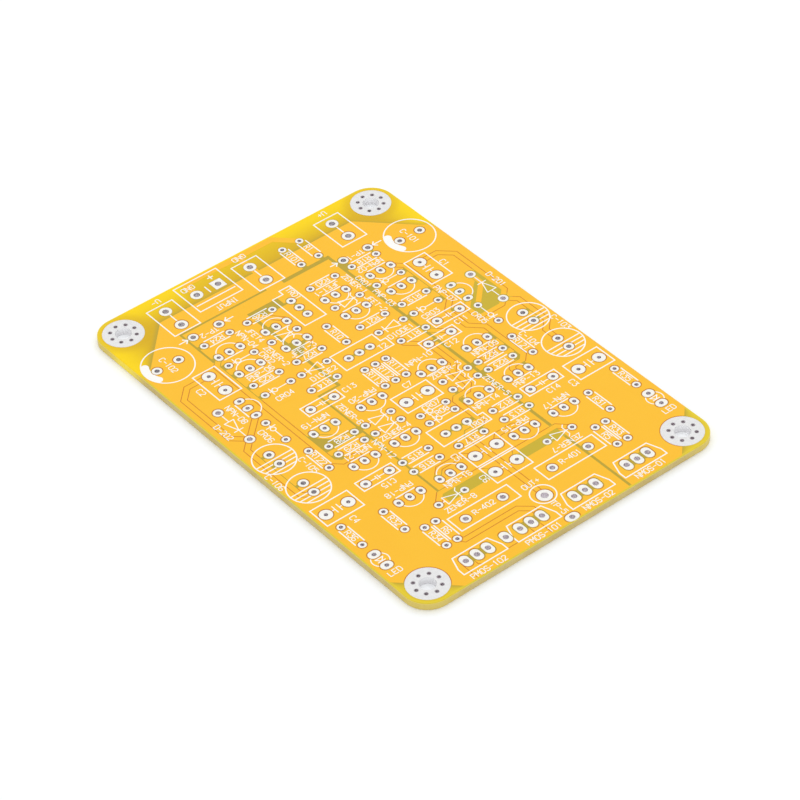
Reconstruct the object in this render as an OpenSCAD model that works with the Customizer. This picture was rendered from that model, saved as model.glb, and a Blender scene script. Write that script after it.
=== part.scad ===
// Bare two-sided circuit board of a small audio amplifier, before its components are fitted.
// X runs along the board from the input side to the power transistor side, Z is up, and the
// origin is the middle of the underside. Every drill, pad, copper clearance, mask opening and
// legend cut-back comes from one list of lead positions.

/* [Board] */
// Length of the board
board_l = 100; // [98:1:130]
// Width of the board
board_w = 70; // [69:1:100]
// Thickness of the glass laminate without its coatings
laminate_t = 1.4; // [0.8:0.1:3.2]
// Radius of the board's corners
corner_r = 5; // [2:0.5:6]

/* [Layers] */
// Thickness of each copper layer
copper_t = 0.07; // [0.04:0.01:0.14]
// Thickness of the solder mask over the copper
mask_t = 0.03; // [0.025:0.005:0.06]
// How far the mask sinks where there is no copper under it
mask_dip = 0.015; // [0.005:0.005:0.02]
// Thickness of the printed legend
legend_t = 0.02; // [0.01:0.01:0.05]
// Thickness of the metal on the walls of the plated holes
plating_t = 0.05; // [0.02:0.01:0.08]
// Thickness of the tin on the pads
finish_t = 0.02; // [0.01:0.005:0.025]

/* [Clearances] */
// Distance from the board's edge to the copper
copper_margin = 0.3; // [0.2:0.05:0.6]
// Distance from the board's edge to the solder mask
mask_margin = 0.1; // [0.05:0.05:0.15]
// Gap between a pad and the copper around it
pad_gap = 0.16; // [0.12:0.01:0.3]
// Gap between a pad and the edge of its mask opening
mask_gap = 0.05; // [0.04:0.01:0.1]
// Gap between a pad and the legend
legend_gap = 0.12; // [0.1:0.01:0.2]
// Width of the copper traces
trace_w = 1.05; // [0.8:0.05:1.2]
// Gap on each side of a copper trace
trace_gap = 0.15; // [0.12:0.01:0.3]
// Width of the ground strips at the input side
strip_w = 1.4; // [1:0.1:1.8]
// Width of the bare strip between the pads of a power transistor
power_neck_w = 2; // [1.5:0.1:2.4]
// Width of the bare strip between the pads of a trimmer
trimmer_neck_w = 0.6; // [0.4:0.1:1.2]

/* [Mounting holes] */
// Distance of the mounting holes from the edges
mount_inset = 5; // [4.5:0.1:6]
// Diameter of the mounting holes
mount_hole_d = 3.2; // [2.6:0.1:3.6]
// Diameter of the pads around the mounting holes
mount_pad_d = 8.1; // [7:0.1:8.6]
// Number of small plated holes in each mounting pad
via_count = 8; // [4:1:12]
// Diameter of those small holes
via_d = 0.6; // [0.3:0.05:0.7]
// Diameter of the circle that they lie on
via_circle_d = 5.1; // [4.9:0.1:5.6]

/* [Resistors and diodes] */
// Lead spacing of resistors and small diodes
resistor_pitch = 6; // [5.5:0.1:6.4]
// Pad diameter of resistors and small diodes
resistor_pad = 1.7; // [1.4:0.05:1.9]
// Hole diameter of resistors and small diodes
resistor_hole = 0.8; // [0.6:0.05:1]
// Length of the printed resistor body
resistor_body_l = 4.8; // [4:0.1:5]
// Width of the printed resistor body
resistor_body_w = 2; // [1.6:0.1:2.2]
// Lead spacing of the power diodes
power_diode_pitch = 9.6; // [9:0.1:10]
// Pad diameter of the power diodes
power_diode_pad = 2.1; // [1.8:0.05:2.3]
// Hole diameter of the power diodes
power_diode_hole = 1.1; // [0.9:0.05:1.3]
// Length of the printed diode arrow
diode_l = 3; // [2.4:0.1:3.2]
// Width of the printed diode arrow
diode_w = 2.1; // [1.8:0.1:2.4]
// Lead spacing of the emitter resistors
emitter_pitch = 8.6; // [8:0.1:9]
// Pad diameter of the emitter resistors
emitter_pad = 2.1; // [1.8:0.05:2.4]
// Hole diameter of the emitter resistors
emitter_hole = 1.1; // [0.9:0.05:1.3]
// Length of the printed emitter resistor
emitter_body_l = 13.75; // [12:0.25:14.5]
// Width of the printed emitter resistor
emitter_body_w = 4.05; // [3.6:0.05:4.5]

/* [Transistors and trimmers] */
// Lead spacing of transistors and trimmers
transistor_pitch = 2.54; // [2.4:0.02:2.7]
// Short side of a small transistor's pad
transistor_pad_w = 1.6; // [1.4:0.05:1.75]
// Long side of a small transistor's pad
transistor_pad_l = 2.15; // [1.9:0.05:2.3]
// Hole diameter of the small transistors
transistor_hole = 0.8; // [0.6:0.05:1]
// Radius of the printed small transistor
transistor_r = 2.55; // [2.4:0.05:2.7]
// Distance from the leads to the flat side of the printed small transistor
transistor_flat = 1.3; // [1.2:0.05:1.4]
// Distance from the leads to the ends of the printed arc
transistor_arc = 0.9; // [0.5:0.1:1.2]
// Short side of a power transistor's pad
power_pad_w = 1.95; // [1.7:0.05:2]
// Long side of a power transistor's pad
power_pad_l = 3.1; // [2.6:0.05:3.4]
// Hole diameter of the power transistors
power_hole = 1.15; // [1:0.05:1.3]
// Pad diameter of the trimmers
trimmer_pad = 1.9; // [1.7:0.05:2]
// Hole diameter of the trimmers
trimmer_hole = 0.8; // [0.6:0.05:1]

/* [Capacitors and lamps] */
// Lead spacing of the film capacitors
film_pitch = 5.08; // [4.9:0.02:5.2]
// Pad diameter of the film capacitors
film_pad = 2.65; // [2.3:0.05:2.8]
// Hole diameter of the film capacitors
film_hole = 0.8; // [0.6:0.05:1]
// Length of the printed film capacitor
film_body_l = 8.4; // [8:0.1:8.8]
// Width of the printed film capacitor
film_body_w = 5.1; // [4.6:0.1:5.4]
// Length of the two plates in the film capacitor's symbol
film_plate_l = 2; // [1.6:0.1:2.4]
// Distance between those plates
film_plate_gap = 0.95; // [0.8:0.05:1.1]
// Lead spacing of the ceramic capacitors
ceramic_pitch = 5.5; // [5.2:0.1:5.7]
// Pad diameter of the ceramic capacitors
ceramic_pad = 2.1; // [1.8:0.05:2.2]
// Hole diameter of the ceramic capacitors
ceramic_hole = 0.8; // [0.6:0.05:1]
// Length of the printed ceramic capacitor
ceramic_body_l = 8.3; // [8:0.1:8.6]
// Width of the printed ceramic capacitor
ceramic_body_w = 2.8; // [2.6:0.1:3]
// Length of the two plates in the ceramic capacitor's symbol
ceramic_plate_l = 1.1; // [0.9:0.1:1.4]
// Distance between those plates
ceramic_plate_gap = 0.5; // [0.4:0.05:0.7]
// Lead spacing of the large electrolytic capacitors
reservoir_pitch = 5; // [4.8:0.1:5.2]
// Radius of the printed large electrolytic capacitor
reservoir_r = 5.1; // [4.8:0.1:5.3]
// Half of the angle that its filled patch covers
patch_angle = 31; // [25:1:38]
// Lead spacing of the small electrolytic capacitors
electrolytic_pitch = 3.1; // [2.9:0.1:3.3]
// Radius of the printed small electrolytic capacitor
electrolytic_r = 4.1; // [3.9:0.1:4.4]
// Pad diameter of the electrolytic capacitors
electrolytic_pad = 2.1; // [1.8:0.05:2.3]
// Hole diameter of the electrolytic capacitors
electrolytic_hole = 1; // [0.8:0.05:1.2]
// Lead spacing of the lamps
lamp_pitch = 3.55; // [3.4:0.05:3.7]
// Short side of a lamp's pad
lamp_pad_w = 2; // [1.8:0.05:2.2]
// Long side of a lamp's pad
lamp_pad_l = 2.55; // [2.3:0.05:2.8]
// Hole diameter of the lamps
lamp_hole = 0.9; // [0.7:0.05:1]
// Radius of the printed lamp
lamp_r = 1.7; // [1.5:0.1:1.9]

/* [Terminals and test points] */
// Lead spacing of the terminals
terminal_pitch = 5.08; // [4.9:0.02:5.2]
// Pad diameter of the terminals
terminal_pad = 2.6; // [2.4:0.05:2.8]
// Hole diameter of the terminals
terminal_hole = 1.3; // [1:0.05:1.5]
// Length of the printed supply terminal
terminal_body_l = 9.15; // [8.8:0.05:9.4]
// Width of the printed supply terminal
terminal_body_w = 6; // [5.6:0.1:6.2]
// Length of the printed input terminal
input_body_l = 10.1; // [9.8:0.1:10.4]
// Width of the printed input terminal
input_body_w = 8.7; // [8.4:0.1:9]
// Distance of its inner line from its outline
input_line_inset = 1.75; // [1.5:0.05:2]
// Distance between the ends of that line and the outline
input_line_gap = 0.45; // [0.3:0.05:0.6]
// Pad diameter of the output
output_pad_d = 3.1; // [2.7:0.05:3.3]
// Hole diameter of the output
output_hole = 1.5; // [1.2:0.05:1.8]
// Radius of the printed ring around the output
output_ring_r = 2.45; // [2.2:0.05:2.6]
// Pad diameter of the test points
test_pad = 2.1; // [1.8:0.05:2.3]
// Hole diameter of the test points
test_hole = 1.1; // [0.9:0.05:1.2]
// Short side of the test pad at the board's edge
edge_pad_w = 2; // [1.8:0.05:2.2]
// Long side of the test pad at the board's edge
edge_pad_l = 3; // [2.6:0.05:3.2]

/* [Legend] */
// Width of the printed outlines
outline_w = 0.25; // [0.2:0.01:0.3]
// Width of the finer printed symbols
symbol_w = 0.2; // [0.15:0.01:0.25]
// Distance between the hatch lines of the small electrolytic capacitors
hatch_pitch = 1.02; // [0.9:0.02:1.1]

/* [Hidden] */
$fn = 48;

// The board that the placements below are drawn for: length and width
layout = [100, 70];

// Heights of the layers
coat_t = copper_t + mask_t;
laminate_z = coat_t;
laminate_top = laminate_z + laminate_t;
board_t = laminate_top + coat_t;
pad_t = copper_t + finish_t;

// Moves a layout point to its place on the board
function place(p) = [p[0] * board_l / layout.x, p[1] * board_w / layout.y];
function spread(points) = [for (p = points) place(p)];
function turned(p, angle) = [p.x * cos(angle) - p.y * sin(angle), p.x * sin(angle) + p.y * cos(angle)];

// Parts of the upper half with their partners in the lower half, which may be turned
function halves(parts, turn = 0) = concat(parts, [for (p = parts) [p[0], -p[1], p[2] + turn]]);

// Places of the parts: x, y and the direction of the row of leads, or of the pointed side
resistors = concat(
    [[-41.9, 12.1, 0], [-41.9, 7.9, 0], [-18.1, 0, 0], [-3.5, 2.5, 0], [-3.5, 0, 0], [-3.5, -2.5, 0]],
    [[-8.5, 10.85, 90], [18, 10.85, 90], [21.2, 10.85, 90]],
    [[-8.5, -10.5, 90], [18, -10.5, 90], [21.2, -10.5, 90], [21.2, 0, 90]],
    halves([[26.9, 32.4, 0], [7.25, 24.25, 0], [28.75, 24.25, 0], [36.75, 21.35, 0], [36.75, 18.85, 0]]),
    halves([[-31.9, 17.75, 90], [-16.7, 17.75, 90], [-31.9, 7.6, 90], [-16.7, 7.6, 90]]),
    halves([[5.7, 17.75, 90], [8.6, 17.75, 90]])
);
emitter_resistors = halves([[36.8, 10.15, 90]]);
signal_diodes = halves([[-13.15, 9.2, -90]]);
zener_diodes = halves([[-24.3, 7.6, 90], [5.7, 9.2, 90], [8.6, 9.2, 90], [30.9, 12.75, 90]]);
regulator_diodes = concat(
    halves([[-24.3, 17.75, -90], [-13.15, 17.75, -90]]),
    halves([[-3.95, 25.4, 0]], 180),
    [[10.35, 0, -90], [13, 0, -90]]
);
power_diodes = halves([[-10.15, 30.3, 180]], 180);
transistors = concat(
    halves([[-27.4, 18.2, 0], [-21.1, 18.2, 0], [-27.4, 7.15, 0], [-21.1, 7.15, 0], [25.8, 8.75, 0]], 180),
    halves([[1.3, 18.2, 180], [1.3, 7.15, 180], [13, 18.25, 180], [13, 8.75, 180]], 180),
    halves([[25.8, 18.25, 0], [-12.4, 25.4, 90]])
);
power_transistors = halves([[45.05, 18.85, 0], [45.05, 6.35, 0]]);
spare_power_lead = [45.05, -12.2, 0];
trimmers = [[-29, -0.35, 90], [-11.1, -0.1, 0], [17.1, -0.1, 0]];
film_capacitors = concat(
    halves([[-21.75, 25.4, 0], [19.6, 29.85, 90]]),
    [[5.7, 0, 90], [25.3, 0, 90], [30.9, 0, 90]]
);
ceramic_capacitors = [
    [-8.5, 19.4, 90], [-4.4, 13.9, 90], [18, 19.7, 90], [-4.4, -14.2, 90], [18, -19.3, 90]
];
reservoirs = halves([[-31.95, 29.2, 90]]);
electrolytics = halves([[1.9, 30.3, 0], [11.95, 30.3, 0]]);
lamps = halves([[34.95, 32.4, 0]]);
supply_terminals = [[-42.35, 20.2, 0], [-42.35, 0, 0], [-42.35, -20.2, 0]];
input_terminal = [-44.95, -10.2, 90];
input_outline = [-44.7, -10.25];
output = [41.4, 0, 0];
output_ring = [41, 0];
test_points = [[-34.45, 20.75, 0], [-34.5, 14.75, 0], [-35.3, -20.8, 0], [-35.2, -14.8, 0]];
edge_test_point = [48.85, 0, 0];

// Printed outlines about the middle lead
power_outline = [[-2, 4], [0.9, 5], [2.5, 5], [2.5, -5], [0.9, -5], [-2, -4], [-2, 4]];
trimmer_outline = [
    [-2.54, 5.05], [0, 5.05], [0, 6.3], [2.54, 6.3], [2.54, -5.05], [-2.54, -5.05], [-2.54, 5.05]
];

// Lead positions of parts with a row of leads
function leads(parts, count, pitch, turn = 0) = [
    for (p = parts, i = [0 : count - 1])
        let (q = place(p) + turned([(i - (count - 1) / 2) * pitch, 0], p[2] + turn))
            [q.x, q.y, p[2] + turn]
];

// Pads on lead positions: x, y, direction, size along and across the row, hole, square or round
function pads(places, along, across, hole, square_pad = false) = [
    for (q = places) [q.x, q.y, q[2], along, across, hole, square_pad]
];

supply_set = pads(leads(supply_terminals, 2, terminal_pitch), terminal_pad, terminal_pad, terminal_hole);
input_leads = leads([input_terminal], 2, terminal_pitch);
input_set = concat(
    pads([input_leads[0]], terminal_pad, terminal_pad, terminal_hole),
    pads([input_leads[1]], terminal_pad, terminal_pad, terminal_hole, true)
);
output_set = pads(leads([output], 1, 0), output_pad_d, output_pad_d, output_hole);
test_set = pads(leads(test_points, 1, 0), test_pad, test_pad, test_hole);
edge_test_set = pads(leads([edge_test_point], 1, 0), edge_pad_w, edge_pad_l, test_hole);
resistor_set = pads(leads(resistors, 2, resistor_pitch), resistor_pad, resistor_pad, resistor_hole);
emitter_set = pads(leads(emitter_resistors, 2, emitter_pitch), emitter_pad, emitter_pad, emitter_hole);
small_diodes = concat(signal_diodes, zener_diodes, regulator_diodes);
diode_set = pads(leads(small_diodes, 2, resistor_pitch), resistor_pad, resistor_pad, resistor_hole);
power_diode_leads = leads(power_diodes, 2, power_diode_pitch);
power_diode_set = pads(power_diode_leads, power_diode_pad, power_diode_pad, power_diode_hole);
transistor_leads = leads(transistors, 3, transistor_pitch, 90);
transistor_set = pads(transistor_leads, transistor_pad_w, transistor_pad_l, transistor_hole);
power_leads = concat(leads(power_transistors, 3, transistor_pitch, 90), leads([spare_power_lead], 1, 0, 90));
power_set = pads(power_leads, power_pad_w, power_pad_l, power_hole);
trimmer_set = pads(leads(trimmers, 3, transistor_pitch, 90), trimmer_pad, trimmer_pad, trimmer_hole);
film_set = pads(leads(film_capacitors, 2, film_pitch), film_pad, film_pad, film_hole);
ceramic_set = pads(leads(ceramic_capacitors, 2, ceramic_pitch), ceramic_pad, ceramic_pad, ceramic_hole);
electrolytic_leads = concat(
    leads(reservoirs, 2, reservoir_pitch),
    leads(electrolytics, 2, electrolytic_pitch)
);
electrolytic_set = pads(electrolytic_leads, electrolytic_pad, electrolytic_pad, electrolytic_hole);
lamp_set = pads(leads(lamps, 2, lamp_pitch), lamp_pad_w, lamp_pad_l, lamp_hole);
all_pads = concat(
    supply_set, input_set, output_set, test_set, edge_test_set, resistor_set, emitter_set, diode_set,
    power_diode_set, transistor_set, power_set, trimmer_set, film_set, ceramic_set, electrolytic_set, lamp_set
);

mounts = [
    for (x = [-1, 1], y = [-1, 1]) [x * (board_l / 2 - mount_inset), y * (board_w / 2 - mount_inset)]
];
vias = [for (m = mounts, i = [0 : via_count - 1]) m + turned([via_circle_d / 2, 0], i * 360 / via_count)];

// Limits of the copper areas, which leave the mounting pads and the input side free
pour_edge = [
    [-42.95, 23.5], [-33.2, 32.8], [-30.8, 36], [39.2, 36], [51, 24.2],
    [51, -24.2], [39.2, -36], [-30.8, -36], [-33.2, -32.3], [-42.95, -22.9]
];
// Straight bands without copper: start, end and width
channels = [
    [[-37.15, 13.45], [-37.15, 1.95], 0.95], [[-37.6, 13.13], [28, 13.13], 0.66],
    [[31, 13.2], [51, 13.2], 0.55], [[-37.35, -1.85], [-37.35, -22.4], 0.44],
    [[-37.5, -22.25], [-26.8, -22.25], 0.44], [[-33.8, -8.8], [-6.1, -8.8], 0.68],
    [[-6.3, -8.5], [-6.3, -13.7], 0.42], [[-6.5, -13.5], [28, -13.5], 0.44]
];
// Larger areas without copper
clearings = [
    [[-16, 31.85], [-7.5, 31.85], [-4.4, 28.9], [-4.4, 23.6], [-7.2, 23.6], [-9.2, 25.4], [-14, 30.9]],
    [[29.1, 13.45], [31.65, 13.45], [31.65, 3], [29.9, 3], [29.1, 4.4]],
    [[29, -13.7], [31.65, -13.7], [31.65, -3], [29.9, -3], [29, -4.6]],
    [[-33.9, -1.85], [-31.3, -1.85], [-31.3, -9.1], [-33.9, -9.1]],
    [[4.95, -13.6], [6.85, -13.6], [6.85, -22.3], [0.6, -22.3], [2.1, -21.1], [4.95, -18.7]],
    [[7.8, -13.4], [9.3, -13.4], [9.3, -14.5], [7.8, -14.5]],
    [[7.9, -22.3], [9.1, -22.45], [10.45, -21.1], [9.7, -20.3], [8.6, -20.8]],
    [[7.6, 22.1], [9.35, 22.1], [10.3, 21.15], [9.7, 20], [8.6, 20.4]],
    [[-33.6, 14.9], [-32.4, 14.9], [-31.3, 13.3], [-35.2, 13.3]],
    [[-20.9, -5.2], [-20.2, -5.5], [-17.1, -8], [-17.1, -8.6], [-20.9, -8.6]]
];
// Short bare strips between a pad and a band: start, end and width
necks = [
    [[5.7, 14.5], [5.7, 12.4], 1.3], [[8.6, 14.5], [8.6, 12.4], 1.3], [[-13.15, 14.5], [-13.15, 12.4], 1],
    [[-24.3, 14.5], [-24.3, 13.2], 1.2], [[-16.7, 14.5], [-16.7, 13.2], 0.9],
    [[5.7, -12.3], [5.7, -14.5], 1.3], [[-38.6, 12.1], [-37.5, 12.1], 1],
    [[-38.6, 7.9], [-37.5, 7.9], 1.1], [[-31.9, -20.9], [-31.9, -22.2], 1],
    [[-27.4, -20.9], [-27.4, -22.2], 1], [[36.8, 14.3], [36.8, 13.2], 2],
    [[-31.55, -0.4], [-31.55, -1.9], 0.5], [[-21.1, -7.2], [-21.1, -9.5], 1.6],
    [[-27.4, -7.2], [-27.4, -9.5], 1.6], [[1.65, 20.8], [1.65, 22.1], 2.4],
    [[5.75, 20.8], [5.75, 22.1], 1.5], [[0.35, 30.4], [0.35, 32], 0.9],
    [[3.45, 30.4], [3.45, 32], 0.9], [[0.35, -30.4], [0.35, -32.1], 0.7],
    [[3.45, -30.4], [3.45, -32.1], 0.7], [[10.4, -30.4], [10.4, -32.1], 0.7],
    [[-24.3, 20.8], [-24.3, 22.2], 1.2], [[-21.1, 20.8], [-21.1, 22.2], 1.5],
    [[-16.7, 20.8], [-16.7, 22.2], 1.2], [[-13.15, 20.8], [-13.15, 22.2], 1.4],
    [[-24.3, -20.8], [-24.3, -22.3], 1.6], [[-21.1, -20.8], [-21.1, -22.3], 1.4],
    [[-16.7, -20.8], [-16.7, -22.3], 1.1], [[-13.15, -20.8], [-13.15, -22.3], 1],
    [[20.2, 2.3], [20.2, 3.6], 0.6], [[12, 6.2], [12, 5], 1.2], [[9.2, 6.2], [10.2, 6.2], 0.8],
    [[17.1, 2.6], [17.1, 4.1], 1], [[-34.5, 20.75], [-31.9, 20.75], 0.5], [[11.1, 20.9], [12, 20.9], 0.7],
    [[-9, 21.4], [-9, 20.5], 0.9], [[-4.4, 12], [-4.4, 13], 1]
];
// Routes of the traces, which lie in the copper areas with a gap on each side
traces = [
    [[-24.35, 25.4], [-24.35, 29.7], [-21.85, 32.25], [-7.3, 32.25], [-5.35, 30.3]],
    [[-5.35, 30.3], [-3.3, 32.4], [4.95, 32.4], [7, 30.3], [10.4, 30.3]],
    [[-14.95, 30.3], [-11.8, 30.3], [-6.95, 25.4]],
    [[-5.35, 30.3], [-4.1, 28.9], [-4.1, 23.7], [-4.45, 23.35], [-7.6, 23.35], [-9.75, 25.5]],
    [[-27.4, 20.7], [-25.4, 22.6], [-11.9, 22.6], [-9.5, 20.05], [-3.8, 20.05], [-1.3, 22.5], [9.5, 22.5],
        [10.7, 21.3], [10.7, 18.9], [11.4, 18.25], [13, 18.25]],
    [[-4.4, 11.2], [2.9, 11.2], [4.7, 9.4], [9.2, 9.4], [10.6, 8], [10.6, 5.3], [11.35, 4.55], [18.6, 4.55],
        [19.35, 3.8], [19.35, 0.75], [20.1, 0], [41.4, 0]],
    [[25.3, 2.5], [23.45, 4.35], [23.45, 8], [24.2, 8.75], [25.8, 8.75]],
    [[25.3, -2.5], [23.45, -4.35], [23.45, -9.5], [25.2, -11.3]],
    [[30.9, 15.75], [28.75, 13.7], [28.75, 4], [30.9, 2.5]],
    [[30.9, -2.5], [28.65, -4.5], [28.65, -13.6], [30.8, -15.7]],
    [[-27.4, -20.7], [-25.4, -22.7], [9.4, -22.7], [10.7, -21.4], [10.7, -18.9], [11.4, -18.25],
        [13, -18.25]],
    [[-24.35, -25.4], [-24.35, -30.4], [-21.85, -32.95], [-7.9, -32.95], [-5.35, -30.3]],
    [[-5.35, -30.3], [-3.2, -32.55], [12.6, -32.55], [13.5, -31.4], [13.5, -30.3]],
    [[-9.85, -25.4], [-5.35, -30.3]],
    [[45.05, -3.9], [42.6, -3.9], [40.8, -5.9], [40.8, -18], [39.75, -18.85]],
    [[-21.1, -4.7], [-20.5, -4.7], [-16.7, -8.5], [-16.7, -10.6]],
    [[-27.4, -4.7], [-28.3, -4.7], [-31.9, -7.7], [-31.9, -10.6]],
    [[-8.5, 7.85], [-7.6, 7.85], [-4.4, 11.2]],
    [[1.3, -20.75], [2.1, -20.75], [5.7, -17.2], [5.7, -14.75]],
    [[1.3, 20.75], [2.55, 20.75], [5.7, 17.6], [5.7, 14.75]],
    [[-8.5, 13.85], [-7.35, 13.85], [-4.55, 16.65]]
];
// Single cuts that part two copper areas
cuts = [
    [[51, -5.3], [46, -5.3]], [[46, -7.55], [47.5, -7.55], [47.5, -19.7], [47, -20.2], [46, -20.2]],
    [[51, -22.5], [45, -22.5]]
];
// Ground strips at the input side
strips = [
    [[-44.9, 12.1], [-48.85, 8.3], [-48.85, -12.3], [-48.4, -12.75], [-44.95, -12.75]],
    [[-48.85, 0], [-39.8, 0]]
];

// Board outline, pulled back from the edge by an inset
module plate(inset = 0) {
    l = board_l - 2 * inset;
    w = board_w - 2 * inset;
    r = corner_r - inset;
    square([l - 2 * r, w], center = true);
    square([l, w - 2 * r], center = true);
    for (x = [-1, 1], y = [-1, 1]) {
        translate([x * (l / 2 - r), y * (w / 2 - r)]) circle(r);
    }
}

// Straight line of a width, with square ends
module line(a, b, w) {
    d = b - a;
    translate(a) rotate(atan2(d.y, d.x)) translate([0, -w / 2]) square([norm(d), w]);
}

// Line through several points, with round corners and ends
module stroke(points, w) {
    for (i = [0 : len(points) - 2]) {
        line(points[i], points[i + 1], w);
    }
    for (p = points) {
        translate(p) circle(d = w);
    }
}

// Line through several points, with mitred corners and plain ends
module route(points, w) {
    last = len(points) - 1;
    runs = [for (i = [0 : last - 1]) points[i + 1] - points[i]];
    sides = [for (r = runs) [-r.y, r.x] / norm(r)];
    mitres = concat(
        [sides[0]],
        [for (i = [1 : 1 : last - 1]) (sides[i - 1] + sides[i]) / (1 + sides[i - 1] * sides[i])],
        [sides[last - 1]]
    );
    polygon(concat(
        [for (i = [0 : last]) points[i] + mitres[i] * w / 2],
        [for (i = [last : -1 : 0]) points[i] - mitres[i] * w / 2]
    ));
}

module ring(r, w) {
    difference() {
        circle(r + w / 2);
        circle(r - w / 2);
    }
}

module frame(l, w) {
    difference() {
        square([l + outline_w, w + outline_w], center = true);
        square([l - outline_w, w - outline_w], center = true);
    }
}

// One pad, grown by a margin: round, square or with round ends
module pad_shape(p, grow = 0) {
    along = p[3] + 2 * grow;
    across = p[4] + 2 * grow;
    run = abs(across - along) / 2;
    d = min(along, across);
    translate([p.x, p.y]) rotate(p[2]) {
        if (p[6]) {
            square(d, center = true);
        } else if (run == 0) {
            circle(d = d);
        } else {
            rotate(across > along ? 90 : 0) {
                square([2 * run, d], center = true);
                translate([-run, 0]) circle(d = d);
                translate([run, 0]) circle(d = d);
            }
        }
    }
}

// All pads of one side, grown by a margin
module pad_field(grow) {
    for (p = all_pads) {
        pad_shape(p, grow);
    }
    for (m = mounts) {
        translate(m) circle(d = mount_pad_d + 2 * grow);
    }
}

module drills() {
    for (p = all_pads) {
        translate([p.x, p.y]) circle(d = p[5] + 2 * plating_t);
    }
    for (m = mounts) {
        translate(m) circle(d = mount_hole_d + 2 * plating_t);
    }
    for (v = vias) {
        translate(v) circle(d = via_d + 2 * plating_t);
    }
}

module pour() {
    intersection() {
        plate(copper_margin);
        polygon(spread(pour_edge));
    }
}

module bare_areas() {
    for (c = concat(channels, necks)) {
        line(place(c[0]), place(c[1]), c[2]);
    }
    for (c = clearings) {
        polygon(spread(c));
    }
    at_each(power_transistors) line([0, -transistor_pitch], [0, transistor_pitch], power_neck_w);
    at_each(trimmers) line([0, -transistor_pitch], [0, transistor_pitch], trimmer_neck_w);
    for (c = cuts) {
        route(spread(c), trace_gap);
    }
    for (t = traces) {
        route(spread(t), trace_w + 2 * trace_gap);
    }
}

module top_copper_shape() {
    difference() {
        union() {
            difference() {
                pour();
                bare_areas();
            }
            for (t = traces) {
                route(spread(t), trace_w);
            }
        }
        pad_field(pad_gap);
    }
    difference() {
        for (s = strips) {
            route(spread(s), strip_w);
        }
        pad_field(0);
    }
}

module bottom_copper_shape() {
    difference() {
        pour();
        pad_field(pad_gap);
    }
}

// Mask of one side over the copper shape that is given, with openings for the pads
module solder_mask() {
    difference() {
        linear_extrude(coat_t) difference() {
            plate(mask_margin);
            pad_field(mask_gap);
        }
        linear_extrude(copper_t) children();
        translate([0, 0, coat_t - mask_dip]) linear_extrude(coat_t) difference() {
            square([2 * board_l, 2 * board_w], center = true);
            children();
        }
    }
}

// Pads of both sides with the plated hole between them, as one piece of metal
module plated_hole(p) {
    difference() {
        union() {
            translate([0, 0, laminate_z - pad_t]) linear_extrude(pad_t) pad_shape(p);
            translate([0, 0, laminate_top]) linear_extrude(pad_t) pad_shape(p);
            translate([p.x, p.y, laminate_z]) cylinder(d = p[5] + 2 * plating_t, h = laminate_t);
        }
        translate([p.x, p.y, 0]) cylinder(d = p[5], h = board_t);
    }
}

module plated_holes(set) {
    color("gainsboro") for (p = set) {
        plated_hole(p);
    }
}

// Legend of the parts, each drawn along X about its own middle
module resistor_mark() {
    reach = resistor_body_l / 2;
    for (y = [-resistor_body_w / 2, resistor_body_w / 2]) {
        line([-reach, y], [reach, y], outline_w);
    }
}

module diode_mark(pitch) {
    tip = diode_l / 2;
    side = diode_w / 2;
    stroke([[-tip, -side], [tip, 0], [-tip, side], [-tip, -side]], symbol_w);
    line([-pitch / 2, 0], [-tip, 0], symbol_w);
    line([tip, 0], [pitch / 2, 0], symbol_w);
}

module bar_mark() {
    line([diode_l / 2, -diode_w / 2], [diode_l / 2, diode_w / 2], symbol_w);
}

module zener_mark(pitch) {
    tip = diode_l / 2;
    side = diode_w / 2;
    bend = diode_w / 4;
    diode_mark(pitch);
    stroke([[tip + bend, side + bend], [tip, side], [tip, -side], [tip - bend, -side - bend]], symbol_w);
}

module regulator_mark(pitch) {
    r = diode_w / 4;
    middle = diode_l / 2 - r - symbol_w;
    translate([middle, 0]) ring(r, symbol_w);
    line([-pitch / 2, 0], [middle - r, 0], symbol_w);
    line([middle + r, 0], [pitch / 2, 0], symbol_w);
    bar_mark();
}

module plates_mark(pitch, plate_l, plate_gap) {
    for (s = [-1, 1]) {
        line([s * plate_gap / 2, -plate_l / 2], [s * plate_gap / 2, plate_l / 2], symbol_w);
        line([s * plate_gap / 2, 0], [s * pitch / 2, 0], symbol_w);
    }
}

module film_mark() {
    frame(film_body_l, film_body_w);
    plates_mark(film_pitch, film_plate_l, film_plate_gap);
}

module ceramic_mark() {
    frame(ceramic_body_l, ceramic_body_w);
    plates_mark(ceramic_pitch, ceramic_plate_l, ceramic_plate_gap);
}

module electrolytic_mark() {
    ring(electrolytic_r, outline_w);
    for (x = [0 : hatch_pitch : electrolytic_r - hatch_pitch / 2]) {
        reach = sqrt(electrolytic_r * electrolytic_r - x * x);
        line([x, -reach], [x, reach], outline_w);
    }
}

// Outline of a large electrolytic capacitor with the filled patch on its negative side
module reservoir_mark() {
    patch_w = reservoir_r - reservoir_pitch / 2 - electrolytic_pad / 2;
    patch_r = reservoir_r - patch_w / 2;
    ring(reservoir_r, outline_w);
    intersection() {
        ring(patch_r, patch_w);
        polygon([[0, 0], 2 * reservoir_r * [-cos(patch_angle), sin(patch_angle)],
            2 * reservoir_r * [-cos(patch_angle), -sin(patch_angle)]]);
    }
    for (s = [-1, 1]) {
        translate(patch_r * [-cos(patch_angle), s * sin(patch_angle)]) circle(d = patch_w);
    }
}

module transistor_mark() {
    reach = sqrt(transistor_r * transistor_r - transistor_flat * transistor_flat);
    line([-transistor_flat, -reach], [-transistor_flat, reach], outline_w);
    intersection() {
        ring(transistor_r, symbol_w);
        translate([transistor_arc, -2 * transistor_r]) square(4 * transistor_r);
    }
}

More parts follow.
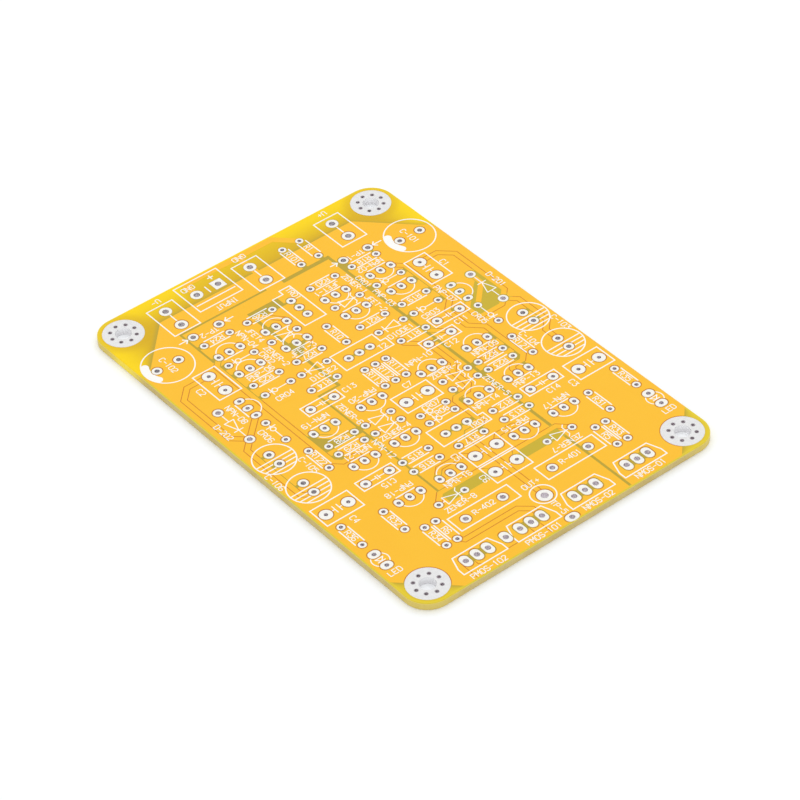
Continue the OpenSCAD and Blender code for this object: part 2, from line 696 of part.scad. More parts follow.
module power_transistor_mark() {
    stroke(power_outline, outline_w);
}

module trimmer_mark() {
    stroke(trimmer_outline, outline_w);
}

module lamp_mark() {
    side = lamp_r / 2;
    tip = lamp_r / 4;
    ring(lamp_r, symbol_w);
    stroke([[-tip, -side], [tip, 0], [-tip, side], [-tip, -side]], symbol_w);
    line([tip, -side], [tip, side], symbol_w);
}

module terminal_mark() {
    frame(terminal_body_l, terminal_body_w);
    line([-terminal_pitch / 2, 0], [terminal_pitch / 2, 0], outline_w);
}

module input_mark() {
    inner = input_body_w / 2 - input_line_inset;
    reach = input_body_l / 2 - input_line_gap;
    frame(input_body_w, input_body_l);
    line([inner, -reach], [inner, reach], outline_w);
}

// Draws a mark at each part of a list
module at_each(parts) {
    for (p = parts) {
        translate(place(p)) rotate(p[2]) children();
    }
}

module legend_shape() {
    at_each(resistors) resistor_mark();
    at_each(emitter_resistors) frame(emitter_body_l, emitter_body_w);
    at_each(signal_diodes) diode_mark(resistor_pitch);
    at_each(signal_diodes) bar_mark();
    at_each(zener_diodes) zener_mark(resistor_pitch);
    at_each(regulator_diodes) regulator_mark(resistor_pitch);
    at_each(power_diodes) diode_mark(power_diode_pitch);
    at_each(power_diodes) bar_mark();
    at_each(film_capacitors) film_mark();
    at_each(ceramic_capacitors) ceramic_mark();
    at_each(electrolytics) electrolytic_mark();
    at_each(reservoirs) reservoir_mark();
    at_each(transistors) transistor_mark();
    at_each(power_transistors) power_transistor_mark();
    at_each(trimmers) trimmer_mark();
    at_each(lamps) lamp_mark();
    at_each(supply_terminals) terminal_mark();
    translate(place(input_outline)) input_mark();
    translate(place(output_ring)) ring(output_ring_r, outline_w);
}

module laminate() {
    color("tan") translate([0, 0, laminate_z]) linear_extrude(laminate_t) difference() {
        plate();
        drills();
    }
}

module top_copper() {
    color("peru") translate([0, 0, laminate_top]) linear_extrude(copper_t) top_copper_shape();
}

module bottom_copper() {
    color("peru") translate([0, 0, mask_t]) linear_extrude(copper_t) bottom_copper_shape();
}

module top_solder_mask() {
    color("orange") translate([0, 0, laminate_top]) solder_mask() top_copper_shape();
}

module bottom_solder_mask() {
    color("orange") translate([0, 0, laminate_z]) mirror([0, 0, 1]) solder_mask() bottom_copper_shape();
}

module legend() {
    color("ivory") translate([0, 0, board_t]) linear_extrude(legend_t) difference() {
        legend_shape();
        pad_field(legend_gap);
    }
}

module mounting_pads() {
    color("gainsboro") difference() {
        union() {
            for (m = mounts) {
                translate([m.x, m.y, laminate_z - pad_t]) cylinder(d = mount_pad_d, h = pad_t);
                translate([m.x, m.y, laminate_top]) cylinder(d = mount_pad_d, h = pad_t);
                translate([m.x, m.y, laminate_z]) cylinder(d = mount_hole_d + 2 * plating_t, h = laminate_t);
            }
            for (v = vias) {
                translate([v.x, v.y, laminate_z]) cylinder(d = via_d + 2 * plating_t, h = laminate_t);
            }
        }
        for (m = mounts) {
            translate(m) cylinder(d = mount_hole_d, h = board_t);
        }
        for (v = vias) {
            translate(v) cylinder(d = via_d, h = board_t);
        }
    }
}

module supply_pads() { plated_holes(supply_set); }
module input_pads() { plated_holes(input_set); }
module output_pad() { plated_holes(output_set); }
module test_pads() { plated_holes(test_set); }
module edge_test_pad() { plated_holes(edge_test_set); }
module resistor_pads() { plated_holes(resistor_set); }
module emitter_resistor_pads() { plated_holes(emitter_set); }
module diode_pads() { plated_holes(diode_set); }
module power_diode_pads() { plated_holes(power_diode_set); }
module transistor_pads() { plated_holes(transistor_set); }
module power_transistor_pads() { plated_holes(power_set); }
module trimmer_pads() { plated_holes(trimmer_set); }
module film_capacitor_pads() { plated_holes(film_set); }
module ceramic_capacitor_pads() { plated_holes(ceramic_set); }
module electrolytic_capacitor_pads() { plated_holes(electrolytic_set); }
module lamp_pads() { plated_holes(lamp_set); }

laminate();
top_copper();
bottom_copper();
top_solder_mask();
bottom_solder_mask();
legend();
mounting_pads();
supply_pads();
input_pads();
output_pad();
test_pads();
edge_test_pad();
resistor_pads();
emitter_resistor_pads();
diode_pads();
power_diode_pads();
transistor_pads();
power_transistor_pads();
trimmer_pads();
film_capacitor_pads();
ceramic_capacitor_pads();
electrolytic_capacitor_pads();
lamp_pads();
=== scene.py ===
import math

import bmesh
import bpy
from mathutils import Matrix, Vector


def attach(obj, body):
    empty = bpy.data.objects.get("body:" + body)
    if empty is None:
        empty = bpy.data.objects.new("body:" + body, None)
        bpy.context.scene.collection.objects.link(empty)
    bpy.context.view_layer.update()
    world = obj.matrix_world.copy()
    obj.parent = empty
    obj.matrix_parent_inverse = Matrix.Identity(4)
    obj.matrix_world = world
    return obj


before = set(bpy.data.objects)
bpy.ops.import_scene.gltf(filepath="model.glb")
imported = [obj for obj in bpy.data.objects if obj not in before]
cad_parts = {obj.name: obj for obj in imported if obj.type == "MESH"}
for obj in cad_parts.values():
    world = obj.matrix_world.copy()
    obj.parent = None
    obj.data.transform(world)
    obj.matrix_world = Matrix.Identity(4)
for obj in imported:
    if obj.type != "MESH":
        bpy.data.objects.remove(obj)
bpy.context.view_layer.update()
mm = 0.001
print("frame loaded:", len(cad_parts), "nodes")


class Sock:  # a socket that can be used in sums
    def __init__(self, tree, socket):
        self.tree = tree
        self.socket = socket

    def work(self, operation, a, b=0.0):
        return self.tree.node("ShaderNodeMath", {"operation": operation}, {0: a, 1: b})

    def __add__(self, other):
        return self.work("ADD", self, other)

    def __radd__(self, other):
        return self.work("ADD", other, self)

    def __sub__(self, other):
        return self.work("SUBTRACT", self, other)

    def __rsub__(self, other):
        return self.work("SUBTRACT", other, self)

    def __mul__(self, other):
        return self.work("MULTIPLY", self, other)

    def __rmul__(self, other):
        return self.work("MULTIPLY", other, self)

    def __pow__(self, other):
        return self.work("POWER", self, other)

    def __abs__(self):
        return self.work("ABSOLUTE", self)

    def above(self, other):
        return self.work("MAXIMUM", self, other)

    def below(self, other):
        return self.work("MINIMUM", self, other)

    def sine(self):
        return self.work("SINE", self)

    def step(self, low, high):  # 0 at low, 1 at high, smooth between
        return self.tree.node("ShaderNodeMapRange", {"interpolation_type": "SMOOTHSTEP"},
                              {0: self, 1: low, 2: high, 3: 0.0, 4: 1.0})


class Tree:  # the nodes of a material or of the world, with the shader they feed
    def __init__(self, owner, shader):
        owner.use_nodes = True
        self.nodes = owner.node_tree.nodes
        self.links = owner.node_tree.links
        self.shader = self.nodes[shader]

    def plug(self, target, value):
        if isinstance(value, Sock):
            self.links.new(value.socket, target)
        else:
            target.default_value = value

    def node(self, kind, settings, inputs, output=0):
        made = self.nodes.new(kind)
        for key, value in settings.items():
            setattr(made, key, value)
        for key, value in inputs.items():
            self.plug(made.inputs[key], value)
        return Sock(self, made.outputs[output])

    def feed(self, name, value):
        self.plug(self.shader.inputs[name], value)

    def mix(self, amount, a, b):
        return self.node("ShaderNodeMix", {"data_type": "RGBA"}, {0: amount, 6: a, 7: b}, 2)

    def eyeRay(self):  # 1 for what the camera sees, straight, in a reflection or through glass
        camera, glossy, through = [self.node("ShaderNodeLightPath", {}, {}, "Is %s Ray" % ray)
                                   for ray in ("Camera", "Glossy", "Transmission")]
        return (camera + glossy + through).below(1.0)


class Paint(Tree):  # one material
    def __init__(self, name):
        self.material = bpy.data.materials.new(name)
        super().__init__(self.material, "Principled BSDF")
        place = self.node("ShaderNodeTexCoord", {}, {}, "Object")
        inputs = {0: place, "Scale": 1 / mm}
        self.inMm = self.node("ShaderNodeVectorMath", {"operation": "SCALE"}, inputs)

    def axes(self):
        return [self.node("ShaderNodeSeparateXYZ", {}, {0: self.inMm}, k) for k in range(3)]

    def noise(self, scale, detail, vector=None):
        return self.node("ShaderNodeTexNoise", {},
                         {"Vector": vector or self.inMm, "Scale": scale, "Detail": detail})

    def stretched(self, scale):
        return self.node("ShaderNodeMapping", {}, {"Vector": self.inMm, "Scale": scale})

    def rough(self, limits, by):
        self.feed("Roughness", limits[0] + by * (limits[1] - limits[0]))

    def bump(self, height, distance, strength):  # the distance in millimetres
        inputs = {"Height": height, "Distance": distance * mm, "Strength": strength}
        self.feed("Normal", self.node("ShaderNodeBump", {}, inputs))


def srgb(red, green, blue):  # a colour as a picture shows it, in the light's own units
    return tuple((c / 255 / 12.92) if c < 11 else ((c / 255 + 0.055) / 1.055) ** 2.4
                 for c in (red, green, blue)) + (1.0,)


def dress(names, paint):
    for name in names:
        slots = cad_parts[name].data.materials
        slots.clear()
        slots.append(paint.material)


# light comes through the board past the limits of the copper areas
daylight = {
    "copperLeft": 42.95,
    "copperCorners": [((-0.692, 0.722), 46.47), ((0.707, 0.707), 53.17)],
    "mountAt": (45, 30),
}


def pastCopper(x, y):
    past = 0.0 - daylight["copperLeft"] - x
    for (nx, ny), reach in daylight["copperCorners"]:
        past = past.above(x * nx + abs(y) * ny - reach)
    return past


def toMount(x, y):
    mountX, mountY = daylight["mountAt"]
    return ((abs(x) - mountX) ** 2.0 + (abs(y) - mountY) ** 2.0) ** 0.5


def dimAtMounts(light, x, y, look):
    return light * (1.0 - (1.0 - toMount(x, y).step(*look["mountShade"])) * look["mountDim"])


# the lacquer is orange over copper, olive over bare laminate and yellow where light comes through
lacquer = {
    "overCopper": srgb(255, 196, 51), "tint": srgb(254, 191, 48),
    # the narrow gaps' brown is the lacquer's olive darkened with painted shade
    "inGapShaded": srgb(209, 122, 46), "inBand": srgb(190, 165, 57), "inClearing": srgb(204, 179, 53),
    "offCopper": srgb(219, 177, 28), "offCopperRight": srgb(211, 181, 47),
    "atEdge": srgb(255, 218, 12), "atEdgeRight": srgb(247, 221, 47),
    "atRim": srgb(231, 210, 58), "farRim": srgb(254, 191, 66),
    "bands": [  # boxes round the bare bands between the copper areas: x, y, x, y
        (-38.7, 12.35, 28.1, 14.95), (28.0, 12.85, 50.2, 13.5), (35.7, 13.0, 37.9, 14.4),
        (-38.7, 1.9, -36.6, 12.4), (-37.7, -22.5, -37.0, -1.8), (-37.7, -22.5, -12.3, -20.85),
        (-34.0, -9.6, -6.0, -7.15), (-34.0, -9.2, -31.1, -0.3), (-21.9, -8.7, -17.0, -5.1),
        (-6.6, -13.7, -6.0, -8.5), (-6.6, -14.6, 28.1, -12.25), (0.5, -22.4, 6.9, -13.5),
        (7.5, -22.5, 10.5, -20.2), (7.5, 20.0, 10.4, 22.2), (-25.0, 20.75, -12.3, 22.3),
        (0.4, 20.75, 6.6, 22.2), (43.8, -22.0, 46.3, 22.0), (-31.6, -0.7, -26.4, 0.0),
        (-11.5, -2.7, -10.7, 2.5), (16.5, -2.7, 20.6, 4.2), (8.8, 4.9, 12.7, 6.7),
        (-0.2, 30.2, 4.0, 32.1), (-0.2, -32.2, 10.8, -30.2), (-33.5, 20.2, -32.6, 21.1),
        (-9.8, 20.2, -8.5, 21.6), (10.9, 20.5, 12.3, 21.5), (24.1, -12.0, 25.2, -9.6),
    ],
    "clearings": [(-16.1, 23.5, -4.2, 31.9), (29.0, 2.9, 31.8, 13.4), (28.9, -13.8, 31.8, -2.9)],
    "boxEdge": (0.0, 0.1),
    "topLevels": (1.588, 1.597), "underLevels": (0.012, 0.003),  # of the sunk and the full surface
    "halfSize": (50, 35), "cornerR": 5,
    "glow": (0.0, 8.0), "rim": (0.25, 0.75),  # distances to the board's edge
    # the mounting pads and the ground strip hold light back
    "mountShade": (4.3, 6.5), "mountDim": 0.5,
    "stripX": (-48.7, -48.2), "stripEnds": ((-15.0, -13.5), (57.6, 56.8)), "stripDim": 0.5,
    "copperLimit": (-0.6, -0.3), "copperShade": (-0.3, 1.0), "copperGlow": (-0.5, 2.0),
    "rightFrom": (-1.0, 0.0), "farFrom": (33.0, 34.0), "farLimit": (-0.5, 0.5),
    "cloud": (0.12, 3.0), "grain": (9.0, 4.0),  # scale and detail
    "cloudShare": 0.6, "tintFrom": (0.35, 0.65), "tintMost": 0.5,
    "weavePitch": 0.55, "weaveShare": 0.35, "bump": (0.006, 0.5),
    "roughness": (0.36, 0.48), "specular": 0.16, "coat": 0.04, "coatRoughness": 0.25,
}


def inBoxes(x, y, boxes):
    gap = None
    for x0, y0, x1, y1 in boxes:
        overX = abs(x - (x0 + x1) / 2) - (x1 - x0) / 2
        overY = abs(y - (y0 + y1) / 2) - (y1 - y0) / 2
        reach = overX.above(overY)
        gap = reach if gap is None else gap.below(reach)
    return 1.0 - gap.step(*lacquer["boxEdge"])


def makeLacquer(name, levels, routed):
    paint = Paint(name)
    x, y, z = paint.axes()
    r = lacquer["cornerR"]
    qx, qy = [abs(place) - (half - r) for place, half in zip((x, y), lacquer["halfSize"])]
    outside = (qx.above(0.0) ** 2.0 + qy.above(0.0) ** 2.0) ** 0.5
    toEdge = r - outside - qx.above(qy).below(0.0)
    past = pastCopper(x, y)
    right = x.step(*lacquer["rightFrom"])
    glow = (1.0 - toEdge.step(*lacquer["glow"])) * past.step(*lacquer["copperGlow"])
    glow = dimAtMounts(glow, x, y, lacquer)
    # bare lacquer starts as the narrow gaps' brown, which holds painted shade
    bare = lacquer["inGapShaded"]
    if routed:
        bare = paint.mix(inBoxes(x, y, lacquer["bands"]), bare, lacquer["inBand"])
        bare = paint.mix(inBoxes(x, y, lacquer["clearings"]), bare, lacquer["inClearing"])
        nearEnd, farEnd = lacquer["stripEnds"]
        strip = x.step(*lacquer["stripX"]) * y.step(*nearEnd) * (y - x).step(*farEnd)
        glow = glow * (1.0 - strip * (1.0 - right) * lacquer["stripDim"])
    margin = paint.mix(past.step(*lacquer["copperShade"]), lacquer["inBand"],
                       paint.mix(right, lacquer["offCopper"], lacquer["offCopperRight"]))
    bare = paint.mix(past.step(*lacquer["copperLimit"]), bare, margin)
    bare = paint.mix(glow, bare, paint.mix(right, lacquer["atEdge"], lacquer["atEdgeRight"]))
    rim = 1.0 - toEdge.step(*lacquer["rim"])
    far = y.step(*lacquer["farFrom"]) * (1.0 - past.step(*lacquer["farLimit"]))
    bare = paint.mix(rim * (1.0 - glow), bare, paint.mix(far, lacquer["atRim"], lacquer["farRim"]))
    cloud = paint.noise(*lacquer["cloud"])
    grain = paint.noise(*lacquer["grain"])
    spots = cloud * lacquer["cloudShare"] + grain * (1 - lacquer["cloudShare"])
    full = paint.mix(spots.step(*lacquer["tintFrom"]) * lacquer["tintMost"],
                     lacquer["overCopper"], lacquer["tint"])
    paint.feed("Base Color", paint.mix(z.step(*levels), bare, full))
    paint.rough(lacquer["roughness"], grain)
    paint.feed("Specular IOR Level", lacquer["specular"])
    paint.feed("Coat Weight", lacquer["coat"])
    paint.feed("Coat Roughness", lacquer["coatRoughness"])
    threads = math.tau / lacquer["weavePitch"]
    weave = (x * threads).sine() * (y * threads).sine()
    paint.bump(weave * lacquer["weaveShare"] + grain, *lacquer["bump"])
    return paint


dress(["top_solder_mask"], makeLacquer("orange_lacquer_top", lacquer["topLevels"], True))
dress(["bottom_solder_mask"], makeLacquer("orange_lacquer_under", lacquer["underLevels"], False))
print("solder mask painted")


ink = {
    "white": srgb(255, 254, 250), "thin": srgb(255, 240, 208),
    "thinFrom": (0.6, 0.8), "thinMost": 0.6,
    "grain": (14.0, 3.0), "roughness": (0.55, 0.7), "bump": (0.004, 0.6),
}


def makeInk():
    paint = Paint("printed_ink")
    grain = paint.noise(*ink["grain"])
    worn = grain.step(*ink["thinFrom"]) * ink["thinMost"]
    paint.feed("Base Color", paint.mix(worn, ink["white"], ink["thin"]))
    paint.rough(ink["roughness"], grain)
    paint.bump(grain, *ink["bump"])
    return paint


inkPaint = makeInk()
dress(["legend"], inkPaint)
print("legend painted")


tin = {
    "pad": {"bright": srgb(250, 249, 243), "dull": srgb(244, 243, 238),
            "barrel": srgb(254, 248, 251)},
    # the terminals' hole lining is darker than their face: painted shade in the wider holes
    "terminal": {"bright": srgb(250, 249, 243), "dull": srgb(244, 243, 238),
                 "barrel": srgb(243, 238, 240)},
    "mount": {"bright": srgb(236, 236, 236), "dull": srgb(231, 231, 231),
              "barrel": srgb(254, 247, 251)},
    # painted shade: the mounting holes' lining darkens from mountWall at the top down to mountFoot
    "mountWall": srgb(248, 247, 247), "mountFoot": srgb(233, 231, 232),
    "mountGrade": (0.5, 1.3), "mountR": (1.75, 1.95),
    "viaR": 2.55, "viaTurns": (0, 45, 90), "viaRim": (0.5, 0.36), "viaShade": srgb(166, 158, 163),
    "rimShade": srgb(196, 160, 62), "rim": (0.935, 0.975),  # lacquer creeps onto the pad's edge
    "barrelLow": (0.01, 0.03), "barrelHigh": (1.57, 1.59),  # between them the metal lines a hole
    "holeSlack": 0.05,
    "pool": (1.3, 3.0), "grain": (16.0, 3.0), "dullFrom": (0.35, 0.7),
    "roughness": (0.34, 0.48), "grainShare": 0.2, "bump": (0.01, 0.2),
}


# 1 along the outer edge of each pad, less by the distance in millimetres further in
def markRim(name):
    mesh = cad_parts[name].data
    spots = [tuple(round(c / mm, 3) for c in vert.co) for vert in mesh.vertices]
    lead = {spot: spot for spot in spots}

    def first(spot):
        while lead[spot] != spot:
            lead[spot] = lead[lead[spot]]
            spot = lead[spot]
        return spot

    for face in mesh.polygons:
        for k in face.vertices:
            lead[first(spots[k])] = first(spots[face.vertices[0]])
    pads = {}
    for spot in lead:
        pads.setdefault(first(spot), []).append(spot)
    rim = {}
    for pad in pads.values():
        midX, midY = [(min(p[k] for p in pad) + max(p[k] for p in pad)) / 2 for k in (0, 1)]
        onTop = [p for p in pad if p[2] > tin["barrelHigh"][0]]
        reach = {p: math.hypot(p[0] - midX, p[1] - midY) for p in onTop}
        hole = min(reach.values(), default=0.0) + tin["holeSlack"]
        outer = [r for r in reach.values() if r > hole]
        if outer:
            width = min(outer) - hole
            rim.update({p: 1.0 if r > hole else 1.0 - width for p, r in reach.items()})
    marks = mesh.attributes.new("rim", "FLOAT", "POINT")
    marks.data.foreach_set("value", [rim.get(spot, 0.0) for spot in spots])


def toVia(x, y):
    mountX, mountY = daylight["mountAt"]
    along, across = abs(abs(x) - mountX), abs(abs(y) - mountY)
    nearest = None
    for turn in tin["viaTurns"]:
        spot = Matrix.Rotation(math.radians(turn), 2) @ Vector((tin["viaR"], 0))
        reach = ((along - spot.x) ** 2.0 + (across - spot.y) ** 2.0) ** 0.5
        nearest = reach if nearest is None else nearest.below(reach)
    return nearest


def makeTin(kind):
    paint = Paint("tinned_" + kind)
    look = tin[kind]
    x, y, z = paint.axes()
    pool = paint.noise(*tin["pool"])
    grain = paint.noise(*tin["grain"])
    face = paint.mix(pool.step(*tin["dullFrom"]), look["bright"], look["dull"])
    # the hole lining; the terminals' darker one is painted shade
    barrel = look["barrel"]
    if kind == "mount":
        # painted shade: the mounting hole's wall is darker towards its foot
        wall = paint.mix(z.step(*tin["mountGrade"]), tin["mountFoot"], tin["mountWall"])
        barrel = paint.mix(toMount(x, y).step(*tin["mountR"]), wall, barrel)
        face = paint.mix(toVia(x, y).step(*tin["viaRim"]), face, tin["viaShade"])
    else:
        rim = paint.node("ShaderNodeAttribute", {"attribute_name": "rim"}, {}, "Fac")
        face = paint.mix(rim.step(*tin["rim"]), face, tin["rimShade"])
    inHole = z.step(*tin["barrelLow"]) * (1.0 - z.step(*tin["barrelHigh"]))
    paint.feed("Base Color", paint.mix(inHole, face, barrel))
    paint.feed("Metallic", 1.0)
    paint.rough(tin["roughness"], pool)
    paint.bump(pool + grain * tin["grainShare"], *tin["bump"])
    return paint


padNames = sorted(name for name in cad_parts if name.endswith(("_pads", "_pad")))
terminalNames = ["supply_pads", "input_pads", "test_pads", "electrolytic_capacitor_pads"]
for name in padNames:
    if name != "mounting_pads":
        markRim(name)
dress(padNames, makeTin("pad"))
dress(terminalNames, makeTin("terminal"))
dress(["mounting_pads"], makeTin("mount"))
print("pads painted:", len(padNames))


glassPlate = {
    "resin": srgb(207, 183, 112), "fibre": srgb(222, 203, 139), "dust": srgb(180, 155, 89),
    "rim": srgb(235, 220, 111), "rimZ": (1.42, 1.499),
    "lit": srgb(255, 230, 78), "litFrom": (-0.5, 4.5), "mountShade": (5.0, 8.0), "mountDim": 0.65,
    "layerPitch": 0.2, "layerSway": 4.0, "layerShare": 0.25,
    "fibres": (1.0, 4.0), "fibreStretch": (0.5, 0.5, 9.0),
    "drift": (0.16, 2.0), "driftFrom": (0.35, 0.65), "driftShare": 0.5,
    "specks": (5.0, 3.0), "dustFrom": (0.56, 0.72), "dustMost": 0.6,
    "roughness": (0.62, 0.85), "layerBump": 0.6, "bump": (0.03, 0.6),
}


def makeLaminate():
    paint = Paint("glass_laminate")
    x, y, z = paint.axes()
    fibres = paint.noise(*glassPlate["fibres"], paint.stretched(glassPlate["fibreStretch"]))
    specks = paint.noise(*glassPlate["specks"])
    drift = paint.noise(*glassPlate["drift"])
    sway = fibres * glassPlate["layerSway"]
    layers = (z * (math.tau / glassPlate["layerPitch"]) + sway).sine() * 0.5 + 0.5
    pale = drift.step(*glassPlate["driftFrom"]) * glassPlate["driftShare"]
    fibrous = layers * glassPlate["layerShare"] + pale
    body = paint.mix(fibrous, glassPlate["resin"], glassPlate["fibre"])
    dusty = specks.step(*glassPlate["dustFrom"]) * glassPlate["dustMost"]
    body = paint.mix(dusty, body, glassPlate["dust"])
    body = paint.mix(z.step(*glassPlate["rimZ"]), body, glassPlate["rim"])
    lit = dimAtMounts(pastCopper(x, y).step(*glassPlate["litFrom"]), x, y, glassPlate)
    paint.feed("Base Color", paint.mix(lit, body, glassPlate["lit"]))
    paint.rough(glassPlate["roughness"], specks)
    paint.bump(layers * glassPlate["layerBump"] + specks, *glassPlate["bump"])
    return paint


dress(["laminate"], makeLaminate())
print("laminate painted")


foil = {
    "fresh": srgb(226, 160, 118), "aged": srgb(186, 116, 78),
    "cloud": (0.6, 4.0), "roughness": (0.3, 0.5),
}


def makeCopper():
    paint = Paint("copper_foil")
    cloud = paint.noise(*foil["cloud"])
    paint.feed("Base Color", paint.mix(cloud, foil["fresh"], foil["aged"]))
    paint.feed("Metallic", 1.0)
    paint.rough(foil["roughness"], cloud)
    return paint


dress(["top_copper", "bottom_copper"], makeCopper())
print("copper painted")


# printed designators in plain strokes; each point of a stroke is two digits on a grid of 4 by 6
strokes = {
    "0": ["10 01 05 16 36 45 41 30 10"], "1": ["15 26 20"], "2": ["05 16 36 45 44 00 40"],
    "3": ["06 46 24 34 43 41 30 10 01"], "4": ["30 36 02", "02 42"],
    "5": ["46 06 04 34 43 41 30 10 01"], "6": ["45 36 16 05 01 10 30 41 42 33 03"],
    "7": ["06 46 10"], "8": ["13 04 05 16 36 45 44 33 13", "13 02 01 10 30 41 42 33"],
    "9": ["01 10 30 41 45 36 16 05 04 13 43"], "C": ["45 36 16 05 01 10 30 41"],
    "D": ["00 06 36 45 41 30 00"], "E": ["46 06 00 40", "03 33"], "F": ["46 06 00", "03 33"],
    "G": ["45 36 16 05 01 10 30 41 43 23"], "I": ["16 36", "26 20", "10 30"],
    "J": ["46 41 30 10 01"], "L": ["06 00 40"], "M": ["00 06 23 46 40"], "N": ["00 06 40 46"],
    "O": ["10 01 05 16 36 45 41 30 10"], "P": ["00 06 36 45 44 33 03"],
    "R": ["00 06 36 45 44 33 03", "23 40"], "S": ["45 36 16 05 04 13 33 42 41 30 10 01"],
    "T": ["06 46", "26 20"], "U": ["06 01 10 30 41 46"], "Z": ["06 46 00 40"],
    "+": ["21 25", "03 43"], "-": ["03 43"],
}

lettering = {
    "grid": (4, 6), "glyphW": 0.74, "capHeight": 1.2, "pitch": 1.0, "strokeW": 0.17, "signW": 0.26,
    "thickness": (0.018, 0.019),  # strokes that cross take turns
    "level": 1.6,  # the outer face of the lacquer
    "closedWithin": 1e-6, "mergeWithin": 1e-8,  # in millimetres, and in metres
    "across": [  # words along the board: text, x, y
        ("C-101", -31.9, 29.1), ("C-102", -31.9, -29.1), ("C1", -21.1, 28.9),
        ("C2", -21.6, -29.2), ("D-201", -10.7, 33.05), ("D-202", -9.9, -32.85),
        ("PNP-07", -13.7, 22.9), ("NPN-08", -12.3, -28.1), ("CR05", -3.95, 23.3),
        ("CR06", -4.0, -27.6), ("C-103", 7.1, 33.85), ("C-104", 6.85, 26.3),
        ("C-105", 7.2, -26.6), ("C-106", 7.0, -34.1), ("R121", 7.1, 24.2), ("R122", 7.1, -24.2),
        ("C3", 21.85, 24.1), ("C4", 23.9, -29.3), ("R31", 28.9, 24.2), ("R32", 28.9, -24.2),
        ("R33", 36.8, 21.3), ("R34", 36.8, -21.3), ("R5", 36.8, 18.9), ("R6", 36.8, -18.9),
        ("R35", 26.8, 32.4), ("R36", 26.8, -32.4), ("PNP-03", -20.5, 13.5),
        ("JFET-2", -20.3, 11.3), ("CR01", -26.9, 13.6), ("ZENER-1", -27.5, 11.9),
        ("ZENER-5", 12.9, 13.05), ("NPN-12", 12.9, -13.65), ("ZENER-6", 1.3, -12.3),
        ("ZENER-2", -20.6, -12.3), ("CR02", -21.4, -14.0), ("JFET4", -28.1, -11.7),
        ("NPN-04", -28.1, -13.65), ("TR01", -33.0, 1.3), ("R10", -18.0, 0.0),
        ("R111", -3.5, 2.5), ("R112", -3.5, 0.0), ("R113", -3.5, -2.5), ("R1", -42.0, 12.1),
        ("R101", -41.7, 7.9), ("C5", 23.3, -5.4), ("C6", 31.0, -5.2), ("TP-5", 45.4, -0.1),
    ],
    "upwards": [  # words that read from the lower to the upper side
        ("NMOS-01", 48.6, 18.9), ("NMOS-02", 48.7, 6.4), ("PMOS-101", 48.8, -6.6),
        ("PMOS-102", 48.9, -19.3), ("LED", 38.9, 32.3), ("LED", 38.9, -32.3),
        ("R-401", 36.7, 10.2), ("R-402", 36.6, -10.1), ("ZENER-8", 33.1, -12.5),
        ("NPN-16", 28.0, -8.8), ("PNP-13", 15.3, 18.3), ("NPN-14", 15.3, 8.6),
        ("NPN-09", 3.5, 18.3), ("NPN-10", -2.3, 7.1), ("DIODE1", -10.7, 9.6),
        ("DIODE2", -10.8, -8.8), ("CR03", -11.0, 17.1), ("CR04", -10.7, -18.0),
        ("C11", -5.8, 20.3), ("C12", -1.8, 14.6), ("C13", -4.5, -7.8), ("C14", 20.6, 20.3),
        ("OUT+", 37.5, 0.1), ("T2", -9.6, 4.3), ("TR03", 18.7, 3.7), ("C7", 1.95, 0.8),
        ("CR07", 9.2, 0.5), ("CR08", 11.7, 0.5), ("ZENER-3", 3.5, 8.7), ("ZENER-4", 10.6, -9.1),
        ("PNP-06", -18.7, -17.5), ("JFET-3", -18.8, -7.5),
    ],
    "downwards": [  # words that read from the upper to the lower side
        ("ZENER-7", 33.5, 12.2), ("PNP-15", 23.4, 8.5), ("NPN-17", 23.4, 18.3),
        ("PNP-18", 23.1, -18.6), ("PNP-20", -1.2, -7.4), ("NPN-19", -1.4, -18.3),
        ("NPN-21", 10.5, -18.0), ("C15", 20.6, -18.8), ("INPUT", -39.0, -10.0),
        ("GND", -48.5, 0.0), ("GND", -47.5, -13.0), ("U+", -48.5, 20.5), ("U-", -48.3, -20.0),
        ("NPN-02", -29.9, 17.6), ("JFET-1", -29.8, 7.0), ("TP-1", -34.3, 17.5),
        ("TP-2", -34.4, -17.7),
    ],
    "firstNumber": 11,
    "inResistors": [  # places of the upright resistors, which take a number each
        (-8.5, 10.85), (18.0, 10.85), (21.2, 10.85), (-8.5, -10.5), (18.0, -10.5), (21.2, -10.5),
        (21.2, 0.0), (-31.9, 17.75), (-16.7, 17.75), (-31.9, 7.6), (-16.7, 7.6), (5.7, 17.75),
        (8.6, 17.75), (-31.9, -17.75), (-16.7, -17.75), (-31.9, -7.6), (-16.7, -7.6), (5.7, -17.75),
        (8.6, -17.75),
    ],
    "arrows": [  # at the test points: x, tail y, tip y
        (-34.45, 24.1, 21.95), (-34.6, 11.6, 13.3), (-35.2, -11.4, -13.4), (-35.3, -24.1, -22.1),
    ],
    "arrowHead": 0.75,
    "plus": (-47.5, -7.65, 0.65), "minus": (-45.9, -43.8, -10.2),
}


def strokesOf(text, x, y, turn):
    unitX = lettering["glyphW"] / lettering["grid"][0]
    unitY = lettering["capHeight"] / lettering["grid"][1]
    length = lettering["pitch"] * (len(text) - 1) + lettering["glyphW"]
    place = Matrix.Translation((x, y, 0)) @ Matrix.Rotation(math.radians(turn), 4, "Z")
    found = []
    for k, letter in enumerate(text):
        start = k * lettering["pitch"] - length / 2
        for line in strokes[letter]:
            points = [(start + int(column) * unitX, int(row) * unitY - lettering["capHeight"] / 2)
                      for column, row in line.split()]
            found.append([place @ Vector((px, py, 0)) for px, py in points])
    return found


def wordStrokes():
    found = []
    for turn, words in ((0, "across"), (90, "upwards"), (-90, "downwards")):
        for text, x, y in lettering[words]:
            found += strokesOf(text, x, y, turn)
    for k, (x, y) in enumerate(lettering["inResistors"]):
        found += strokesOf("R%d" % (k + lettering["firstNumber"]), x, y, -90)
    return found


